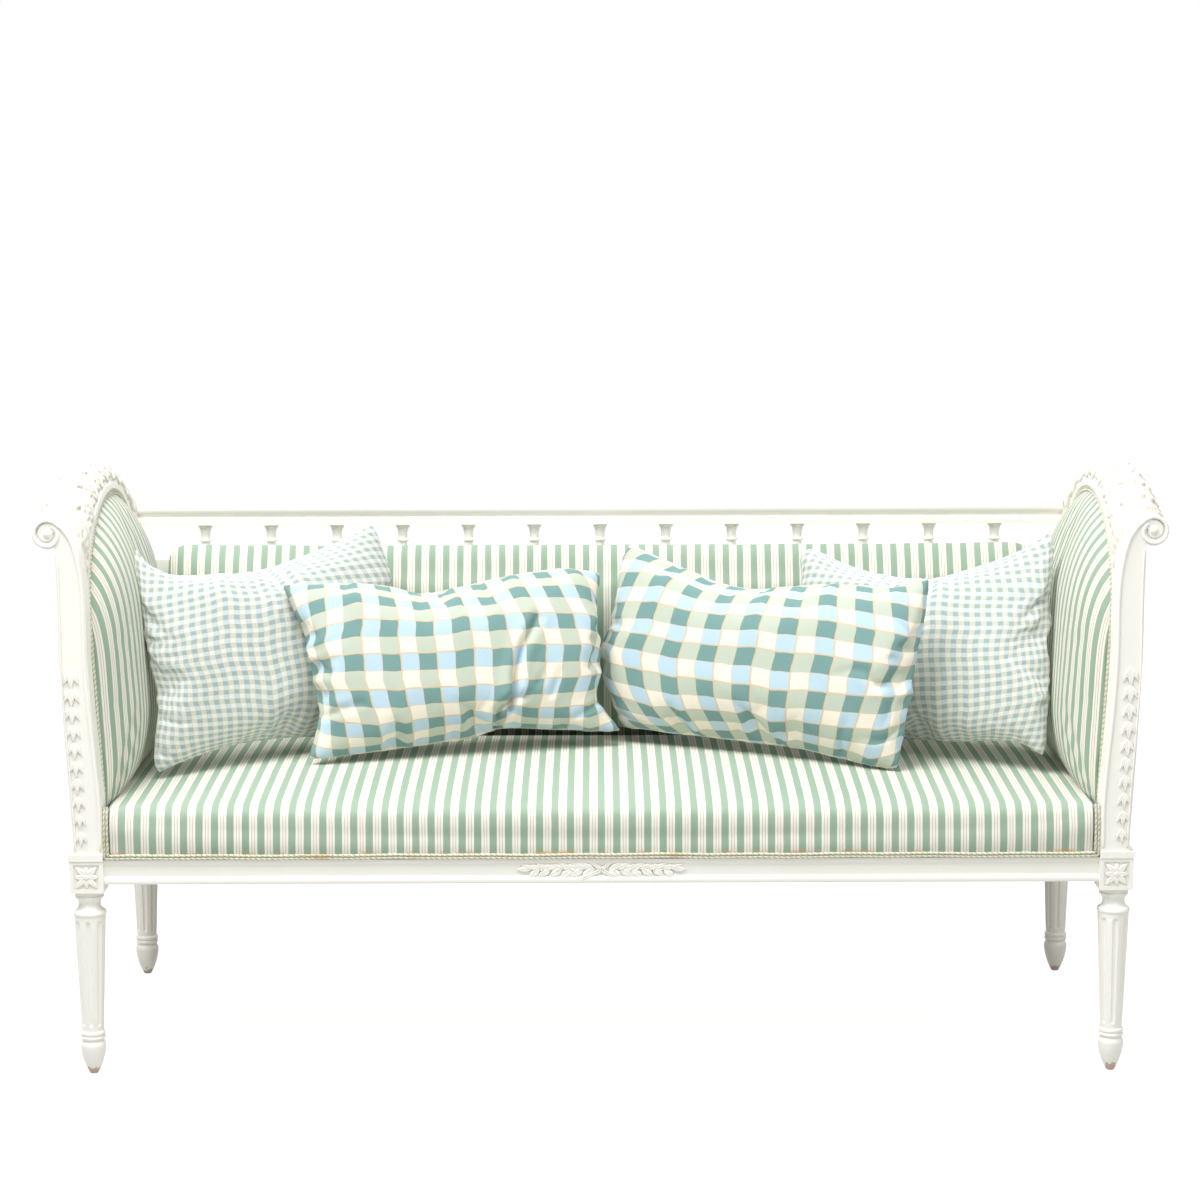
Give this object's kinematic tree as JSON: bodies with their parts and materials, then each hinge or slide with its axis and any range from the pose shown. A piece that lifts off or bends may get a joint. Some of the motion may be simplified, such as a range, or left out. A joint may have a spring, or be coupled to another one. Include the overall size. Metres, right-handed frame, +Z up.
{
  "type": "banquette sofa",
  "caption": "Painted banquette sofa with scrolled arms, a spindle back, fluted tapered legs, a striped stuffed seat, back and arm pads, and loose check pillows that lift off.",
  "frame": {"origin": "on the floor, under the middle of the sofa in plan", "axes": "+X to the sitter's left as seen from the front, the viewer's right; front faces -Y; +Z up"},
  "size_m": [1.8484, 0.6994, 0.995],
  "materials": {
    "painted_wood": "cream white paint, satin, lightly worn",
    "bare_wood": "raw beech, unfinished",
    "stripe_fabric": "woven cotton with pale green and white stripes",
    "large_check_fabric": "woven cotton with large blue, green and cream checks",
    "small_check_fabric": "woven cotton with small blue, green and cream checks",
    "gimp": "braided trim in pale green and cream",
    "lining_cloth": "plain woven lining",
    "webbing": "jute webbing",
    "hessian": "coarse hessian",
    "stuffing": "curled hair and cotton wadding",
    "pillow_filling": "loose feather filling",
    "steel": "plain wood screws"
  },
  "bodies": {
    "sofa_frame": {"arm_cover_left": "stripe_fabric", "arm_cover_right": "stripe_fabric", "arm_crest_left": "painted_wood", "arm_crest_right": "painted_wood", "arm_gimp_left": "gimp", "arm_gimp_right": "gimp", "arm_lower_rail_left": "bare_wood", "arm_lower_rail_right": "bare_wood", "arm_outer_cover_left": "stripe_fabric", "arm_outer_cover_right": "stripe_fabric", "arm_stuffing_left": "stuffing", "arm_stuffing_right": "stuffing", "arm_webbing_left": "webbing", "arm_webbing_right": "webbing", "back_cover": "stripe_fabric", "back_lower_cross_rail": "painted_wood", "back_outer_cover": "stripe_fabric", "back_spindles": "painted_wood", "back_stile_centre": "painted_wood", "back_stile_left": "painted_wood", "back_stile_right": "painted_wood", "back_stuffing": "stuffing", "back_top_rail": "painted_wood", "back_upper_cross_rail": "painted_wood", "back_webbing": "webbing", "block_rosettes": "painted_wood", "corner_block_screws": "steel", "dust_cover": "lining_cloth", "front_leg_left": "painted_wood", "front_leg_right": "painted_wood", "front_post_left": "painted_wood", "front_post_right": "painted_wood", "front_rail_ornament": "painted_wood", "front_seat_rail": "painted_wood", "post_husks": "painted_wood", "rear_leg_left": "painted_wood", "rear_leg_right": "painted_wood", "rear_post_left": "painted_wood", "rear_post_right": "painted_wood", "rear_seat_rail": "painted_wood", "seat_corner_blocks": "bare_wood", "seat_cover": "stripe_fabric", "seat_gimp": "gimp", "seat_hessian": "hessian", "seat_stuffing": "stuffing", "seat_webbing": "webbing", "side_seat_rail_left": "painted_wood", "side_seat_rail_right": "painted_wood"},
    "pillow_large_left": {"pillow_large_left_cover": "large_check_fabric", "pillow_large_left_filling": "pillow_filling"},
    "pillow_large_right": {"pillow_large_right_cover": "large_check_fabric", "pillow_large_right_filling": "pillow_filling"},
    "pillow_small_left": {"pillow_small_left_cover": "small_check_fabric", "pillow_small_left_filling": "pillow_filling"},
    "pillow_small_right": {"pillow_small_right_cover": "small_check_fabric", "pillow_small_right_filling": "pillow_filling"}
  },
  "joints": [
    {"name": "pillow_large_left_lift", "type": "slide", "parent": "sofa_frame", "child": "pillow_large_left", "axis": [0, 0, 1], "range_m": [0, 0.45]},
    {"name": "pillow_large_right_lift", "type": "slide", "parent": "sofa_frame", "child": "pillow_large_right", "axis": [0, 0, 1], "range_m": [0, 0.45]},
    {"name": "pillow_small_left_lift", "type": "slide", "parent": "sofa_frame", "child": "pillow_small_left", "axis": [-0.0876, 0.1082, 0.9903], "range_m": [0, 0.45]},
    {"name": "pillow_small_right_lift", "type": "slide", "parent": "sofa_frame", "child": "pillow_small_right", "axis": [0.0838, 0.1111, 0.9903], "range_m": [0, 0.45]}
  ]
}
